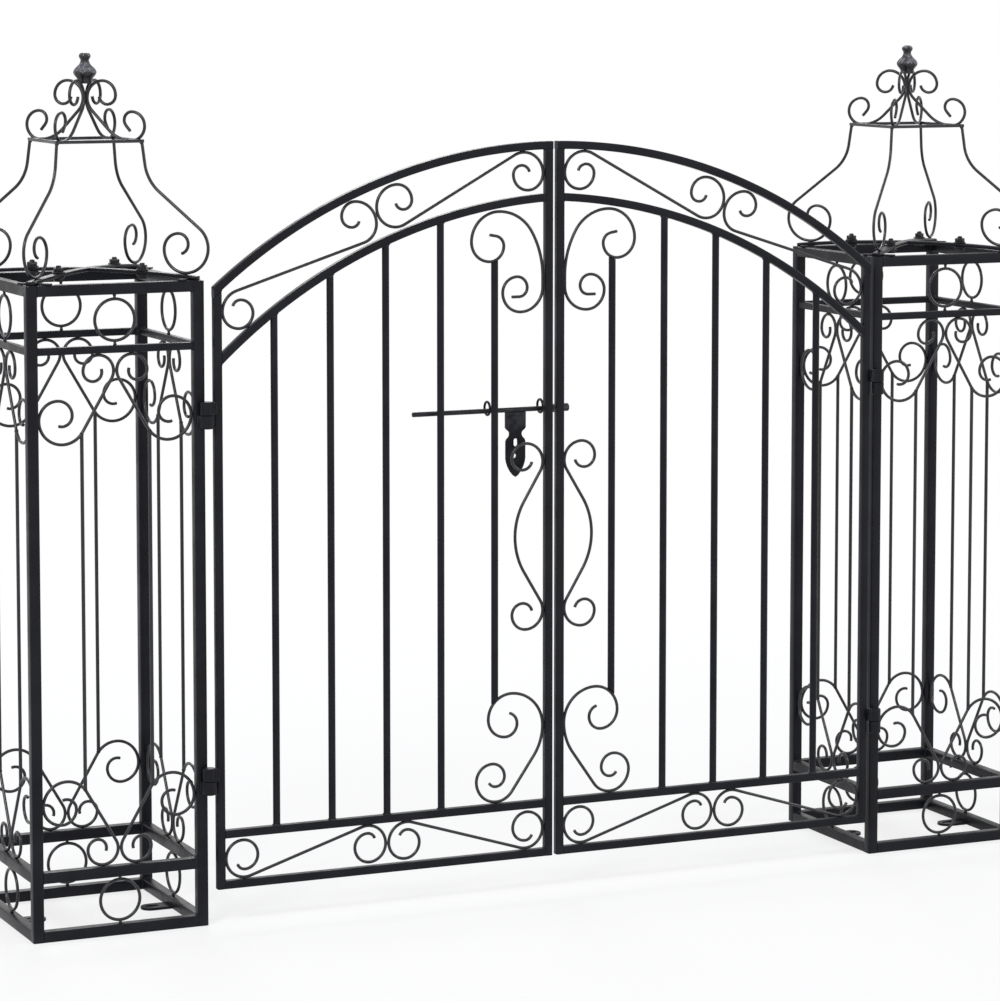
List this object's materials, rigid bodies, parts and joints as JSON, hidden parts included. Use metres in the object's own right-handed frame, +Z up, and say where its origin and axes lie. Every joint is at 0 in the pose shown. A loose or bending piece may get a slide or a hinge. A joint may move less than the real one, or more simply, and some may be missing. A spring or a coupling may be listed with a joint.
{
  "type": "garden gate",
  "caption": "Low two-leaf ornamental garden gate with arched leaves, scrollwork and a sliding bolt, hung between two square openwork towers with crowns.",
  "frame": {"origin": "centre of the overall outline on the ground", "axes": "+X along the gate, +Y from the front, where the leaves stand proud, to the back, +Z up"},
  "size_m": [1.2304, 0.2187, 0.9475],
  "materials": {
    "black_paint": "satin",
    "bolt_steel": "satin"
  },
  "bodies": {
    "towers": {"left_tower_posts": "black_paint", "left_tower_top_rails": "black_paint", "left_tower_inner_rails": "black_paint", "left_tower_ground_rails": "black_paint", "left_tower_front_panel": "black_paint", "left_tower_back_panel": "black_paint", "left_tower_outer_panel": "black_paint", "left_tower_inner_panel": "black_paint", "left_crown_cross": "black_paint", "left_crown_cage": "black_paint", "left_crown_scrolls": "black_paint", "left_finial": "black_paint", "left_hinge_pins": "black_paint", "right_tower_posts": "black_paint", "right_tower_top_rails": "black_paint", "right_tower_inner_rails": "black_paint", "right_tower_ground_rails": "black_paint", "right_tower_front_panel": "black_paint", "right_tower_back_panel": "black_paint", "right_tower_outer_panel": "black_paint", "right_tower_inner_panel": "black_paint", "right_crown_cross": "black_paint", "right_crown_cage": "black_paint", "right_crown_scrolls": "black_paint", "right_finial": "black_paint", "right_hinge_pins": "black_paint"},
    "left_leaf": {"left_leaf_frame": "black_paint", "left_leaf_arches": "black_paint", "left_leaf_bars": "black_paint", "left_leaf_arch_scrolls": "black_paint", "left_leaf_foot_scrolls": "black_paint", "left_leaf_side_scrolls": "black_paint", "left_leaf_hinges": "black_paint", "bolt_eyes": "black_paint"},
    "right_leaf": {"right_leaf_frame": "black_paint", "right_leaf_arches": "black_paint", "right_leaf_bars": "black_paint", "right_leaf_arch_scrolls": "black_paint", "right_leaf_foot_scrolls": "black_paint", "right_leaf_side_scrolls": "black_paint", "right_leaf_hinges": "black_paint", "bolt_keeper": "bolt_steel"},
    "bolt": {"bolt_rod": "bolt_steel", "bolt_plate": "black_paint"}
  },
  "joints": [
    {"name": "left_leaf_swing", "type": "hinge", "parent": "towers", "child": "left_leaf", "pos_m": [-0.413, -0.10214, 0.36], "axis": [0, 0, -1], "range_deg": [0, 100]},
    {"name": "right_leaf_swing", "type": "hinge", "parent": "towers", "child": "right_leaf", "pos_m": [0.413, -0.10214, 0.36], "axis": [0, 0, 1], "range_deg": [0, 100]},
    {"name": "bolt_slide", "type": "slide", "parent": "left_leaf", "child": "bolt", "axis": [1, 0, 0], "range_m": [-0.015, 0.014]}
  ]
}
